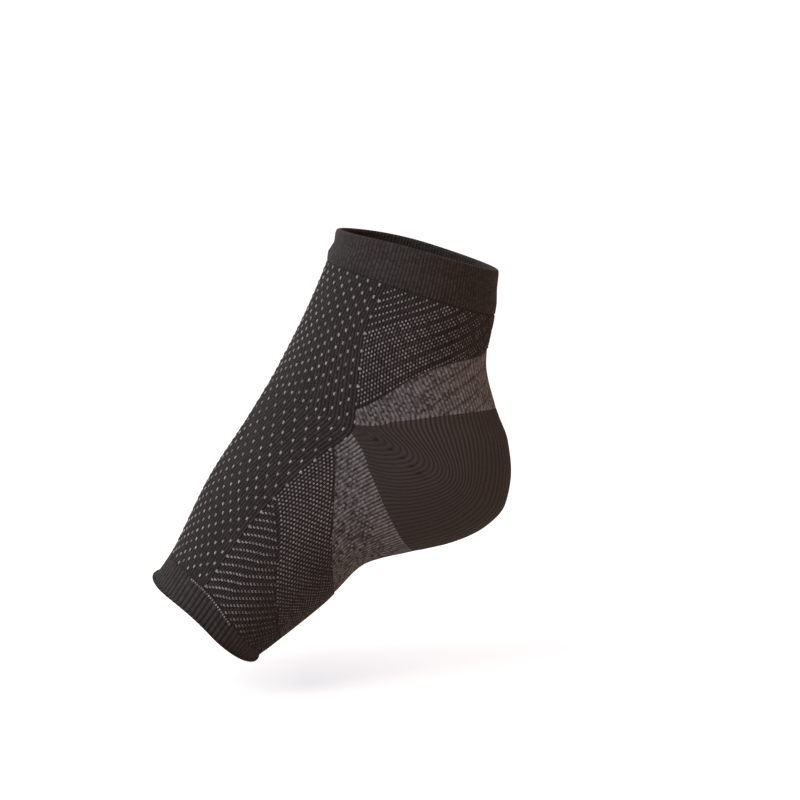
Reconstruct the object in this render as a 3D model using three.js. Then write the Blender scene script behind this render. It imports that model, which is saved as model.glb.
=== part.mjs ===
// Ankle compression sleeve: an open-toe knitted tube, held in the form it has when worn.
// Millimetres, +Z up. The origin is the middle of the ankle joint, where the sleeve sits.
// +X points from the toes to the heel. The XZ plane is the sleeve's plane of symmetry.
import * as THREE from 'three';

// Walls and relief
const BODY_WALL = 1.5;
const CUFF_WALL = 2.2;
const CUFF_PROUD = 0.6;
const RIB_DEPTH = 0.4;
const PIECE_GAP = 0.3;

// Ribs of a cuff across the instep half and across the heel half
const INSTEP_RIBS = 32;
const HEEL_RIBS = 56;

// Facets across the instep half and across the heel half
const INSTEP_COLUMNS = 16;
const HEEL_COLUMNS = 18;

// Sections of the worn form, from the ankle rim to the toe rim, each measured at the outside of the knit.
// front, side and back are where a section crosses the shin and instep line, the wale line between
// the two knitted halves, and the line down the heel and along the sole. half is its half width,
// widestAt how far behind the front line that width lies, and the two rounds are its end roundness.
const COLUMNS = [
  'frontX', 'frontZ', 'sideX', 'sideZ', 'backX', 'backZ', 'half', 'widestAt', 'frontRound', 'backRound',
];
const SECTIONS = {
  ankleRim:    [-26.5, 74.0, -0.5, 69.5, 42.0, 56.5, 30.0, 35.5, 2.0, 2.0],
  cuffFoot:    [-31.0, 60.5, -5.5, 53.0, 40.5, 37.5, 31.5, 37.5, 2.0, 2.0],
  legMid:      [-41.0, 37.0, -15.0, 31.0, 37.0, 16.5, 33.5, 38.5, 2.0, 2.0],
  heelTop:     [-52.5, 14.5, -19.5, -6.0, 42.0, -5.0, 34.5, 44.0, 2.0, 2.1],
  heelUpper:   [-53.0, 13.6, -19.5, -6.4, 46.5, -17.5, 34.5, 44.0, 2.0, 2.2],
  heelBack:    [-53.5, 12.7, -19.5, -6.8, 48.0, -31.0, 34.5, 44.0, 2.0, 2.3],
  heelLower:   [-54.0, 11.8, -19.5, -7.2, 45.5, -45.0, 34.5, 44.0, 2.0, 2.4],
  heelUnder:   [-54.5, 10.9, -19.5, -7.6, 36.5, -55.0, 34.5, 44.0, 2.0, 2.4],
  heelSole:    [-55.0, 10.0, -19.5, -8.0, 22.5, -61.5, 34.5, 44.0, 2.0, 2.4],
  heelFoot:    [-55.5, 9.1, -19.5, -8.4, 8.0, -65.0, 34.5, 44.0, 2.0, 2.4],
  arch:        [-66.0, -8.0, -34.0, -18.5, -13.5, -70.0, 35.0, 43.0, 2.0, 2.4],
  forefoot:    [-82.5, -33.5, -55.0, -38.5, -32.5, -88.0, 37.0, 43.0, 2.1, 2.2],
  toeCuffTop:  [-99.0, -66.5, -81.0, -73.5, -58.0, -108.5, 40.0, 35.5, 2.1, 2.0],
  toeRim:      [-106.5, -77.5, -88.5, -84.5, -62.5, -112.0, 40.0, 34.0, 2.0, 1.9],
};
const STATION = Object.fromEntries(Object.keys(SECTIONS).map((name, index) => [name, index]));

// Lines between the zones of the heel half: their station on the back line and on the side line,
// how far they bow towards the toes between the two, and how far they turn at the tip of the heel.
const ZONE_LINES = {
  ankleCuff: { back: STATION.cuffFoot, side: STATION.cuffFoot, bow: 0, tip: 0 },
  upperBand: { back: 1.72, side: 2.78, bow: -0.12, tip: 0 },
  heelTop:   { back: 2.9, side: STATION.heelTop, bow: -0.12, tip: 1.7 },
  heelFoot:  { back: STATION.heelFoot, side: STATION.heelFoot, bow: 0.19, tip: -1.7 },
  lowerBand: { back: 10.8, side: 9.48, bow: 0.31, tip: 0 },
  archFoot:  { back: 11.6, side: 10.75, bow: 0.28, tip: 0 },
  toeCuff:   { back: STATION.toeCuffTop, side: STATION.toeCuffTop, bow: 0, tip: 0 },
};
const TIP_REACH = 0.2;
const TIP_CURVE = 1.5;

// Zones of the heel half, from the leg to the toes, with the facet rows along each
const HEEL_ZONES = [
  { name: 'achilles_panel', from: 'ankleCuff', to: 'upperBand', rows: 7, knit: 'dottedKnit' },
  { name: 'upper_heel_band', from: 'upperBand', to: 'heelTop', rows: 3, knit: 'greyKnit' },
  { name: 'heel_pocket', from: 'heelTop', to: 'heelFoot', rows: 12, knit: 'plainKnit' },
  { name: 'lower_heel_band', from: 'heelFoot', to: 'lowerBand', rows: 4, knit: 'greyKnit' },
  { name: 'arch_panel', from: 'lowerBand', to: 'archFoot', rows: 5, knit: 'dottedKnit' },
  { name: 'forefoot_rib_panel', from: 'archFoot', to: 'toeCuff', rows: 6, knit: 'dottedKnit' },
];

// How far a cuff stands proud, in shares of CUFF_PROUD, at places along its width
const ANKLE_CUFF_PROFILE = [
  { along: 0, proud: 0.4 },
  { along: 0.42, proud: 0.3 },
  { along: 0.8, proud: 1.3 },
  { along: 1, proud: 0.4 },
];
const TOE_CUFF_PROFILE = [
  { along: 0, proud: 0.3 },
  { along: 0.7, proud: 0.3 },
  { along: 0.9, proud: 1.8 },
  { along: 1, proud: 2 },
];

const KNITS = {
  cuffKnit: { color: 0x1d1a1a, roughness: 0.9 },
  instepKnit: { color: 0x2a2728, roughness: 0.88 },
  dottedKnit: { color: 0x343132, roughness: 0.88 },
  greyKnit: { color: 0x575556, roughness: 0.9 },
  plainKnit: { color: 0x231f1f, roughness: 0.85 },
};

// Samples along each half of a section's outline, share of its shorter half that rounds the side corner,
// and the step used to find the surface's direction
const HALF_SAMPLES = 48;
const CORNER_SHARE = 0.6;
const SLOPE_STEP = 0.004;
const LAST_STATION = Object.keys(SECTIONS).length - 1;

const mix = (a, b, share) => a + (b - a) * share;
const shares = (count) => Array.from({ length: count + 1 }, (_, index) => index / count);

// Slopes that let a curve pass through every value of a column without overshooting
function gentleSlopes(values) {
  const steps = values.slice(1).map((value, index) => value - values[index]);
  return values.map((_, index) => {
    const before = steps[index - 1];
    const after = steps[index];
    if (before === undefined) return after;
    if (after === undefined) return before;
    return before * after > 0 ? 2 * before * after / (before + after) : 0;
  });
}

const TABLE = COLUMNS.map((_, column) => {
  const values = Object.values(SECTIONS).map((row) => row[column]);
  return { values, slopes: gentleSlopes(values) };
});

// The section at any station, with its columns by name
function sectionAt(station) {
  const index = Math.min(Math.max(Math.floor(station), 0), LAST_STATION - 1);
  const t = station - index;
  const section = {};
  COLUMNS.forEach((name, column) => {
    const { values, slopes } = TABLE[column];
    const start = values[index];
    const rise = values[index + 1] - start;
    const bend = (slopes[index] - rise) * (1 - t) - (slopes[index + 1] - rise) * t;
    section[name] = start + rise * t + t * (1 - t) * bend;
  });
  return section;
}

// Half width at a distance behind the front line, as two rounded ends that meet at the widest place
function widthAt(section, distance, whole) {
  const { half, widestAt, frontRound, backRound } = section;
  const inFront = distance < widestAt;
  const reach = inFront ? 1 - distance / widestAt : (distance - widestAt) / (whole - widestAt);
  const round = inFront ? frontRound : backRound;
  return half * Math.pow(Math.max(1 - Math.pow(reach, round), 0), 1 / round);
}

// Near half of a section, from the front line to the back line, with the length walked so far
function outlineOf(section) {
  const front = new THREE.Vector2(section.frontX, section.frontZ);
  const side = new THREE.Vector2(section.sideX, section.sideZ);
  const back = new THREE.Vector2(section.backX, section.backZ);
  const whole = front.distanceTo(side) + side.distanceTo(back);
  const corner = front.distanceTo(side) / whole;
  const bend = CORNER_SHARE * Math.min(corner, 1 - corner);
  const onLine = (share) => (share < corner
    ? front.clone().lerp(side, share / corner)
    : side.clone().lerp(back, (share - corner) / (1 - corner)));
  const rounding = new THREE.QuadraticBezierCurve(onLine(corner - bend), side, onLine(corner + bend));
  const fromFront = shares(HALF_SAMPLES).map((k) => corner * (1 - Math.cos(k * Math.PI / 2)));
  const toBack = shares(HALF_SAMPLES).slice(1).map((k) => mix(corner, 1, Math.sin(k * Math.PI / 2)));
  const points = [...fromFront, ...toBack].map((share) => {
    const turn = (share - corner + bend) / (2 * bend);
    const place = turn > 0 && turn < 1 ? rounding.getPoint(turn) : onLine(share);
    return new THREE.Vector3(place.x, -widthAt(section, share * whole, whole), place.y);
  });
  const lengths = [0];
  points.slice(1).forEach((point, index) => lengths.push(lengths[index] + point.distanceTo(points[index])));
  return { points, lengths };
}

// A point on the outside of the knit. around is 0 on the front line, 0.5 on the side line
// nearest the viewer, 1 on the back line and 1.5, or -0.5, on the far side line.
function knitPoint(around, station) {
  const turn = around > 1 ? around - 2 : around;
  const { points, lengths } = outlineOf(sectionAt(station));
  const share = Math.abs(turn);
  const sideLength = lengths[HALF_SAMPLES];
  const length = share < 0.5
    ? mix(0, sideLength, share / 0.5)
    : mix(sideLength, lengths.at(-1), (share - 0.5) / 0.5);
  const next = Math.max(lengths.findIndex((walked) => walked >= length - 1e-9), 1);
  const step = (length - lengths[next - 1]) / (lengths[next] - lengths[next - 1]);
  const point = points[next - 1].clone().lerp(points[next], step);
  if (turn < 0) point.y = -point.y;
  return point;
}

// The direction out of the knit at a point
function knitNormal(around, station) {
  const low = Math.max(station - SLOPE_STEP, 0);
  const high = Math.min(station + SLOPE_STEP, LAST_STATION);
  const along = knitPoint(around, high).sub(knitPoint(around, low));
  const across = knitPoint(around + SLOPE_STEP, station).sub(knitPoint(around - SLOPE_STEP, station));
  return along.cross(across).normalize();
}

// Moves the outer row or column of a grid in by half the gap between pieces
function trimEdge(edge, inner) {
  edge.forEach((point, index) => {
    const inward = inner[index].clone().sub(point);
    point.add(inward.setLength(PIECE_GAP / 2));
  });
}

function trimGrid(grid, closed) {
  const last = grid.length - 1;
  trimEdge(grid[0], grid[1]);
  trimEdge(grid[last], grid[last - 1]);
  if (closed) return;
  const column = (index) => grid.map((row) => row.at(index));
  trimEdge(column(0), column(1));
  trimEdge(column(-1), column(-2));
}

// A closed wall between two grids of the same shape, as one solid
function wallGeometry(outer, inner, closed) {
  const rows = outer.length;
  const columns = outer[0].length;
  const positions = [...outer.flat(), ...inner.flat()].flatMap((point) => point.toArray());
  const outside = (row, column) => row * columns + (column % columns);
  const inside = (row, column) => rows * columns + outside(row, column);
  const triangles = [];
  const quad = (a, b, c, d) => triangles.push(a, b, c, a, c, d);
  const columnSteps = closed ? columns : columns - 1;
  const foot = rows - 1;
  const end = columns - 1;
  for (let column = 0; column < columnSteps; column += 1) {
    const next = column + 1;
    for (let row = 0; row < foot; row += 1) {
      quad(outside(row, column), outside(row + 1, column), outside(row + 1, next), outside(row, next));
      quad(inside(row, column), inside(row, next), inside(row + 1, next), inside(row + 1, column));
    }
    quad(outside(0, column), outside(0, next), inside(0, next), inside(0, column));
    quad(outside(foot, next), outside(foot, column), inside(foot, column), inside(foot, next));
  }
  for (let row = 0; row < foot && !closed; row += 1) {
    quad(outside(row + 1, 0), outside(row, 0), inside(row, 0), inside(row + 1, 0));
    quad(outside(row, end), outside(row + 1, end), inside(row + 1, end), inside(row, end));
  }
  const geometry = new THREE.BufferGeometry();
  geometry.setAttribute('position', new THREE.Float32BufferAttribute(positions, 3));
  geometry.setIndex(triangles);
  geometry.computeVertexNormals();
  return geometry;
}

// A wall of the sleeve over a grid of places, each with how far it stands proud of the knit
function knitWall(places, thickness, closed) {
  const lift = ({ around, station, proud }, inset) => {
    const normal = knitNormal(around, station);
    return knitPoint(around, station).addScaledVector(normal, proud - inset);
  };
  const outer = places.map((row) => row.map((place) => lift(place, 0)));
  const inner = places.map((row) => row.map((place) => lift({ ...place, proud: 0 }, thickness)));
  trimGrid(outer, closed);
  trimGrid(inner, closed);
  return wallGeometry(outer, inner, closed);
}

function knitMesh(name, geometry, knit) {
  const material = new THREE.MeshStandardMaterial({ ...KNITS[knit], metalness: 0 });
  const mesh = new THREE.Mesh(geometry, material);
  mesh.name = name;
  return mesh;
}

// Station of a zone line at a place around the heel half
function lineStation(line, around) {
  const { back, side, bow, tip } = ZONE_LINES[line];
  const share = Math.abs(1 - around) / 0.5;
  const nearTip = Math.max(1 - (1 - share) / TIP_REACH, 0);
  return mix(back, side, share) + bow * 4 * share * (1 - share) + tip * Math.pow(nearTip, TIP_CURVE);
}

function heelZone({ name, from, to, rows, knit }) {
  const places = shares(rows).map((down) => shares(HEEL_COLUMNS).map((across) => {
    const around = 0.5 + across;
    const station = mix(lineStation(from, around), lineStation(to, around), down);
    return { around, station, proud: 0 };
  }));
  return knitMesh(name, knitWall(places, BODY_WALL, false), knit);
}

// The instep takes the rows of the heel zones where they meet it, so both sides share their edges
function instepPanel() {
  const stations = HEEL_ZONES.flatMap(({ from, to, rows }) => shares(rows).slice(1)
    .map((down) => mix(lineStation(from, 0.5), lineStation(to, 0.5), down)));
  const places = [STATION.cuffFoot, ...stations].map((station) => shares(INSTEP_COLUMNS)
    .map((across) => ({ around: across - 0.5, station, proud: 0 })));
  return knitMesh('instep_panel', knitWall(places, BODY_WALL, false), 'instepKnit');
}

// A ribbed cuff, with a crest and a groove for each rib
function ribbedCuff(name, from, to, profile) {
  const half = (start, ribs) => shares(2 * ribs).slice(0, -1).map((across) => start + across);
  const columns = [...half(-0.5, INSTEP_RIBS), ...half(0.5, HEEL_RIBS)];
  const places = profile.map(({ along, proud }) => columns.map((around, index) => ({
    around,
    station: mix(from, to, along),
    proud: proud * CUFF_PROUD + (index % 2 === 0 ? RIB_DEPTH : -RIB_DEPTH) / 2,
  })));
  return knitMesh(name, knitWall(places, CUFF_WALL - CUFF_PROUD, true), 'cuffKnit');
}

const sleeve = new THREE.Group();
sleeve.name = 'ankle_compression_sleeve';
sleeve.add(ribbedCuff('ankle_cuff', STATION.ankleRim, STATION.cuffFoot, ANKLE_CUFF_PROFILE));
sleeve.add(instepPanel());
HEEL_ZONES.forEach((zone) => sleeve.add(heelZone(zone)));
sleeve.add(ribbedCuff('toe_cuff', STATION.toeCuffTop, STATION.toeRim, TOE_CUFF_PROFILE));

export default sleeve;
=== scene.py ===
"""Knitted open-toe ankle sleeve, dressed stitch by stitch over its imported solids.

Every place on the sleeve has two coordinates. Around it is 0 on the front line, 0.5 on the near side line,
1 on the back line and 1.5 or -0.5 on the far side line. Its station runs from 0 at the ankle rim to 13 at
the toe rim. On top of these lies the knit: wales counted across and courses counted from the ankle down.
"""

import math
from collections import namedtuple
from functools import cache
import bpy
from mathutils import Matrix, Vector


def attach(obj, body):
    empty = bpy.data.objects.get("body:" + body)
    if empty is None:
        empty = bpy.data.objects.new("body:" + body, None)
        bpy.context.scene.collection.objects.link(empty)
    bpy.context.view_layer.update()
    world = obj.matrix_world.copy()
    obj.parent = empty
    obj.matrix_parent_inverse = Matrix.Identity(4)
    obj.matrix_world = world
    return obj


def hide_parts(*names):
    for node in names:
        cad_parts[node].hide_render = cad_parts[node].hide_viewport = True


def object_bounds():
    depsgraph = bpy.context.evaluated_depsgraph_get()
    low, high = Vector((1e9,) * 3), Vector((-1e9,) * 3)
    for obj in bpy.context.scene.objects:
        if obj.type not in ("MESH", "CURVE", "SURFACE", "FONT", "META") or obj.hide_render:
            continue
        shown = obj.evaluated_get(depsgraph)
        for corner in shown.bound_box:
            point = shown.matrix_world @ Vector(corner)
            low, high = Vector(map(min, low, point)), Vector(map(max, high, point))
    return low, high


bl_info = {
    "name": "Knitted Ankle Sleeve",
    "version": (1, 0, 0),
    "blender": (4, 5, 0),
    "location": "3D View > Sidebar > Sleeve",
    "description": "Lays knitted zones, cuffs and light stitches over the solids of an ankle sleeve",
    "category": "Object",
}

import bpy
import numpy as np
from bpy.props import FloatProperty, FloatVectorProperty, PointerProperty
from bpy.types import Operator, Panel, PropertyGroup

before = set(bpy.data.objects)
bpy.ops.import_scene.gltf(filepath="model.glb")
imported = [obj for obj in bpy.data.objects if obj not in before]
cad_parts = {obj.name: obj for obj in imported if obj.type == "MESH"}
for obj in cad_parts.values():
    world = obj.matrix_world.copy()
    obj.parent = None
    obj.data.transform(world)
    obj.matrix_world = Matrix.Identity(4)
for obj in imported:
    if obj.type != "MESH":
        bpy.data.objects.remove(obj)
CAD_BOX = [list(corner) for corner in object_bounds()]
MM = 0.001

# Place around of the near side line
SIDE = 0.5

# Half sections of the sleeve from ankle to toes, in millimetres
Section = namedtuple("Section", (
    "front_x", "front_z", "side_x", "side_z", "back_x", "back_z",
    "half_width", "widest_at", "front_round", "back_round"))
SECTIONS = {
    "ankle_rim": (-26.5, 74.0, -0.5, 69.5, 42.0, 56.5, 30.0, 35.5, 2.0, 2.0),
    "cuff_foot": (-31.0, 60.5, -5.5, 53.0, 40.5, 37.5, 31.5, 37.5, 2.0, 2.0),
    "leg_mid": (-41.0, 37.0, -15.0, 31.0, 37.0, 16.5, 33.5, 38.5, 2.0, 2.0),
    "heel_top": (-52.5, 14.5, -19.5, -6.0, 42.0, -5.0, 34.5, 44.0, 2.0, 2.1),
    "heel_upper": (-53.0, 13.6, -19.5, -6.4, 46.5, -17.5, 34.5, 44.0, 2.0, 2.2),
    "heel_back": (-53.5, 12.7, -19.5, -6.8, 48.0, -31.0, 34.5, 44.0, 2.0, 2.3),
    "heel_lower": (-54.0, 11.8, -19.5, -7.2, 45.5, -45.0, 34.5, 44.0, 2.0, 2.4),
    "heel_under": (-54.5, 10.9, -19.5, -7.6, 36.5, -55.0, 34.5, 44.0, 2.0, 2.4),
    "heel_sole": (-55.0, 10.0, -19.5, -8.0, 22.5, -61.5, 34.5, 44.0, 2.0, 2.4),
    "heel_foot": (-55.5, 9.1, -19.5, -8.4, 8.0, -65.0, 34.5, 44.0, 2.0, 2.4),
    "arch": (-66.0, -8.0, -34.0, -18.5, -13.5, -70.0, 35.0, 43.0, 2.0, 2.4),
    "forefoot": (-82.5, -33.5, -55.0, -38.5, -32.5, -88.0, 37.0, 43.0, 2.1, 2.2),
    "toe_cuff_top": (-99.0, -66.5, -81.0, -73.5, -58.0, -108.5, 40.0, 35.5, 2.1, 2.0),
    "toe_rim": (-106.5, -77.5, -88.5, -84.5, -62.5, -112.0, 40.0, 34.0, 2.0, 1.9),
}
STATION = {name: place for place, name in enumerate(SECTIONS)}
LAST_STATION = len(SECTIONS) - 1

# Share of a section's shorter flank that is rounded on each side of its corner at the side line
SIDE_CORNER = 0.6

# Borders of the knit zones on the back half: station at the back line and at the side lines, bow between
# them, and turn at the tip of the heel, with the share of the half that it takes and its power
ZoneLine = namedtuple("ZoneLine", "back side bow tip")
ZONE_LINES = {
    "ankle_cuff": (1.0, 1.0, 0.0, 0.0),
    "upper_band": (1.72, 2.78, -0.12, 0.0),
    "heel_top": (2.9, 3.0, -0.12, 1.7),
    "heel_foot": (9.0, 9.0, 0.19, -1.7),
    "lower_band": (10.8, 9.48, 0.31, 0.0),
    "arch_foot": (11.6, 10.75, 0.28, 0.0),
    "toe_cuff": (12.0, 12.0, 0.0, 0.0),
}
TIP_REACH = 0.2
TIP_CURVE = 1.5

# Stitch counts of the knit
INSTEP_WALES = 64
BACK_WALES = 112
LEG_COURSES = 63
TURN_COURSES = 9
FOOT_COURSES = 90
ALL_COURSES = LEG_COURSES + TURN_COURSES + FOOT_COURSES
BAND_WALES = 94
HEEL_WALES = 72
HEEL_COURSES = 76
CUFF_COURSES = 20
ANKLE_RIB_WALES = 4 / 3
TOE_RIB_WALES = 2

# How finely the surface is laid out
HALF_SAMPLES = 48
AROUND_CELLS = 400
STATION_CELLS = 60
WALE_COLUMNS = 4

# The turned heel: where its wales turn, how far they swing out there and on which share of the half, powers
# of the swing across, before and after the turn, its least share, how round the turn is, and how closely
# the wales end by the tip
TURN_STATION = 5.35
TURN_SLOPE = 0.6
HEEL_SWING = 0.08
SWING_REACH = 0.7
SWING_ACROSS = 0.7
SWING_BEFORE = 2
SWING_AFTER = 0.9
SWING_LEAST = 0.01
SWING_ROUND = 5
FOOT_CROWD = 0.7

# The heel's gore and the holes along it, the holes dug in and darkened by painted shade
GORE_STATION = 5.4
GORE_SLOPE = 5.7
GORE_REACH = 0.2
GORE_HOLES = 6
HOLE_DEPTH = 0.0005
HOLE_SHADE = 0.6

# How clear the heel's wales are: shares of the way to the back line, stations, and the value at each
CLEAR_ACROSS = ((0, 0.1, 0.25, 0.55, 0.85), (0.1, 0.2, 1, 0.8, 0.15))
CLEAR_DOWN = ((3, 4.2, 5.6, 7.5), (1, 0.9, 0.3, 0.15))

# The grey bands: height of a course, courses from the heel over which their wales show as bars, and wales
# that the upper band leans to the back for each course
BAND_COURSE = 0.001
UPPER_BARS = 2.5
LOWER_BARS = 11
UPPER_LEAN = 0.3

# Creased lines across the upper band, drawn only as painted shade: courses between two, their rise for each
# wale, the wales they begin at, and the share of the courses between two that one of them takes on each side
# of its middle
CREASE_COURSES = 6
CREASE_RISE = 0.65
CREASE_FROM = (12, 22)
CREASE_WIDTH = 0.14

# The welts' rolls: shares of the height below the rim, the rise at each as a share of the cuff's rise, and
# for the ankle the level that it rolls about and the share of the roll that is left at the back
ANKLE_ROLL = ((0, 0.15, 0.45, 0.8, 1), (0.2, 0.7, -0.5, 1.6, 0.2))
ANKLE_FLAT = 0.4
ANKLE_BACK_ROLL = 0.35
TOE_ROLL = ((0, 0.05, 0.1, 1), (3.0, 2.6, 0.2, 0.2))

# A light stitch, in metres, how its brightness fades between two shares of the way to the back line, partly
# as painted shade and partly as stitches that show less there, and the range of brightness from stitch to
# stitch
Stitch = namedtuple("Stitch", "width length rise")
Fade = namedtuple("Fade", "start end high low")
YARN_UNEVEN = (0.5, 1.2)

# Rows of instep dots on the foot: courses they fall for each wale from the front, where that sets in, and
# how much lighter they are
FOOT_SLANT = 0.37
SLANT_COURSES = (58, 100)
FOOT_LIGHTER = 0.12

# Courses between two ribs of the forefoot, and how much steeper they rise beyond a wale
RIB_COURSES = 4
RIB_STEEPER = 0.4
RIB_STEEPER_FROM = 9

# The light row by the toe cuff: where it begins and ends around, how far below the cuff's top it lies, in
# stations, and how far it stands over the knit
TOE_ROW = (0.41, 0.635)
TOE_ROW_BELOW = 0.03
TOE_ROW_LIFT = 0.0002

# Kinds of yarn: unevenness of the colour, height of the fibres on a loop, depth of the bump, and roughness
Yarn = namedtuple("Yarn", "unevenness loft depth roughness")
GROUND_YARN = Yarn(0.8, 0.3, 0.00028, 0.86)
HEEL_YARN = Yarn(0.5, 0.3, 0.00025, 0.86)
GREY_YARN = Yarn(0.5, 0.3, 0.00028, 0.88)
LIGHT_YARN = Yarn(0.6, 1.0, 0.00012, 0.8)

# Gaps between black loops, darkened as painted shade: depths at which they begin and end to show, tones
# there, above 1 a painted highlight on the crests, and how far loops differ
GAP_DEPTHS = (0.15, 0.95)
GROUND_SHADE_TONES = (1.0, 0.25)
SOFT_HEEL_SHADE_TONES = (1.0, 0.6)
CRISP_HEEL_SHADE_TONES = (1.4, 0.2)
LOOP_SWING = 0.3


def section_slopes(rows):
    """Slopes of the section columns that never overshoot between rows."""
    steps = np.diff(rows, axis=0)
    before, after = steps[:-1], steps[1:]
    level = before * after <= 0
    total = np.where(level, 1.0, before + after)
    inner = np.where(level, 0.0, 2 * before * after / total)
    return np.vstack([steps[:1], inner, steps[-1:]])


SECTION_ROWS = np.array(list(SECTIONS.values()))
SECTION_SLOPES = section_slopes(SECTION_ROWS)


def section_at(station):
    """The section at any station."""
    row = min(int(station), LAST_STATION - 1)
    share = station - row
    rise = SECTION_ROWS[row + 1] - SECTION_ROWS[row]
    start, end = SECTION_SLOPES[row] - rise, SECTION_SLOPES[row + 1] - rise
    bend = start * (1 - share) - end * share
    return Section(*(SECTION_ROWS[row] + rise * share + share * (1 - share) * bend))


def half_outline(section):
    """Points from the front line round the near side to the back line, and the length up to each."""
    front = np.array((section.front_x, section.front_z))
    side = np.array((section.side_x, section.side_z))
    back = np.array((section.back_x, section.back_z))
    to_side, to_back = np.linalg.norm(side - front), np.linalg.norm(back - side)
    whole = to_side + to_back
    corner = to_side / whole
    reach = SIDE_CORNER * min(corner, 1 - corner)
    turn = np.linspace(0, math.pi / 2, HALF_SAMPLES + 1)
    share = np.concatenate([corner * (1 - np.cos(turn)), corner + (1 - corner) * np.sin(turn[1:])])

    def on_fold(place):
        place = np.atleast_1d(place)[:, None]
        before = front + (side - front) * place / corner
        after = side + (back - side) * (place - corner) / (1 - corner)
        return np.where(place < corner, before, after)

    passed = np.clip((share - corner + reach) / (2 * reach), 0, 1)[:, None]
    ahead = 1 - passed
    entry, leave = on_fold(corner - reach), on_fold(corner + reach)
    curve = ahead ** 2 * entry + 2 * passed * ahead * side + passed ** 2 * leave
    in_curve = (passed > 0) & (passed < 1)
    place = np.where(in_curve, curve, on_fold(share))
    depth, widest = share * whole, section.widest_at
    from_widest = np.where(depth < widest, 1 - depth / widest, (depth - widest) / (whole - widest))
    power = np.where(depth < widest, section.front_round, section.back_round)
    width = section.half_width * np.maximum(1 - from_widest ** power, 0) ** (1 / power)
    points = np.column_stack([place[:, 0], -width, place[:, 1]])
    steps = np.linalg.norm(np.diff(points, axis=0), axis=1)
    return points, np.concatenate([[0], np.cumsum(steps)])


def lay_form():
    """The near half of the sleeve's outer surface, in metres, on an even grid of station and around."""
    around = np.linspace(0, 1, AROUND_CELLS + 1)
    stations = np.linspace(0, LAST_STATION, LAST_STATION * STATION_CELLS + 1)
    form = np.empty((len(stations), len(around), 3))
    for row, station in enumerate(stations):
        points, length = half_outline(section_at(station))
        to_side = length[HALF_SAMPLES]
        front_part = around / SIDE * to_side
        back_part = to_side + (around - SIDE) / SIDE * (length[-1] - to_side)
        wanted = np.where(around < SIDE, front_part, back_part)
        for axis in range(3):
            form[row, :, axis] = np.interp(wanted, length, points[:, axis]) * MM
    return form


FORM = lay_form()


def form_point(around, station):
    """Points of the outer surface."""
    turned = np.mod(around + 1, 2) - 1
    column = np.abs(turned) * AROUND_CELLS
    row = np.clip(station, 0, LAST_STATION) * STATION_CELLS
    left = np.minimum(column.astype(int), FORM.shape[1] - 2)
    top = np.minimum(row.astype(int), FORM.shape[0] - 2)
    across, down = (column - left)[:, None], (row - top)[:, None]
    upper = FORM[top, left] * (1 - across) + FORM[top, left + 1] * across
    lower = FORM[top + 1, left] * (1 - across) + FORM[top + 1, left + 1] * across
    points = upper * (1 - down) + lower * down
    points[:, 1] *= np.where(turned < 0, -1, 1)
    return points


def unit(vectors):
    return vectors / np.linalg.norm(vectors, axis=1)[:, None]


def form_frame(around, station, around_step=0.005, station_step=0.03):
    """Points of the outer surface with the directions across the wales, down them and outward."""
    ahead, behind = form_point(around + around_step, station), form_point(around - around_step, station)
    below, above = form_point(around, station + station_step), form_point(around, station - station_step)
    across, down = unit(ahead - behind), unit(below - above)
    out = unit(np.cross(down, across))
    return form_point(around, station), across, unit(np.cross(across, out)), out


def course_table(samples=1101):
    """Stations from cuff to cuff and the course count at each, even along the side line."""
    stations = np.linspace(STATION["cuff_foot"], STATION["toe_cuff_top"], samples)
    steps = np.diff(form_point(np.full(len(stations), SIDE), stations), axis=0)
    length = np.concatenate([[0], np.cumsum(np.linalg.norm(steps, axis=1))])
    borders = [STATION[name] for name in ("cuff_foot", "heel_top", "heel_foot", "toe_cuff_top")]
    counts = np.cumsum([0, LEG_COURSES, TURN_COURSES, FOOT_COURSES])
    return stations, np.interp(length, np.interp(borders, stations, length), counts)


COURSE_STATIONS, COURSE_COUNTS = course_table()


def course_at(station):
    return np.interp(station, COURSE_STATIONS, COURSE_COUNTS)


def station_at(course):
    return np.interp(course, COURSE_COUNTS, COURSE_STATIONS)


def zone_line(name, around):
    """Station of a zone's border on the back half."""
    line = ZoneLine(*ZONE_LINES[name])
    spread = np.abs(1 - around) / SIDE
    near_tip = np.maximum(1 - (1 - spread) / TIP_REACH, 0)
    swept = line.back + (line.side - line.back) * spread
    return swept + line.bow * 4 * spread * (1 - spread) + line.tip * near_tip ** TIP_CURVE


def side_share(around):
    """0 on the side lines, 1 on the back line."""
    return 1 - np.abs(1 - around) / SIDE


def place_instep(wale, down):
    course = down * ALL_COURSES
    return wale / INSTEP_WALES - SIDE, station_at(course), course


def place_zone(top, foot, wales=BACK_WALES):
    """The layout of a zone of the back half between two border lines."""

    def place(wale, down):
        around = SIDE + wale / wales
        first, last = course_at(zone_line(top, around)), course_at(zone_line(foot, around))
        course = first + (last - first) * down
        return around, station_at(course), course

    return place


def place_band(top, foot, heel):
    """The layout of a grey band, its courses counted from the heel, below 0 above it."""
    lay = place_zone(top, foot, BAND_WALES)

    def place(wale, down):
        around, station, _ = lay(wale, down)
        border = zone_line(heel, around)
        apart = np.linalg.norm(form_point(around, station) - form_point(around, border), axis=1)
        return around, station, np.sign(station - border) * apart / BAND_COURSE

    return place


def leaning_wale(wale, course, lean):
    """Wales of a band that lean to the back from both side lines, upright again at the back line."""
    half = BAND_WALES / 2
    from_side = half - np.abs(wale - half)
    leant = lean * course * np.interp(from_side, (half / 3, half), (1, 0))
    return wale - np.sign(half - wale) * leant


def gore_station(around):
    return GORE_STATION + GORE_SLOPE * np.minimum(side_share(around) / 2, GORE_REACH)


def foot_share(share):
    """Share of the lower border where heel wales of this share of the upper one end, closer by the tip."""
    return share * (FOOT_CROWD + (1 - FOOT_CROWD) * share)


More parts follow.
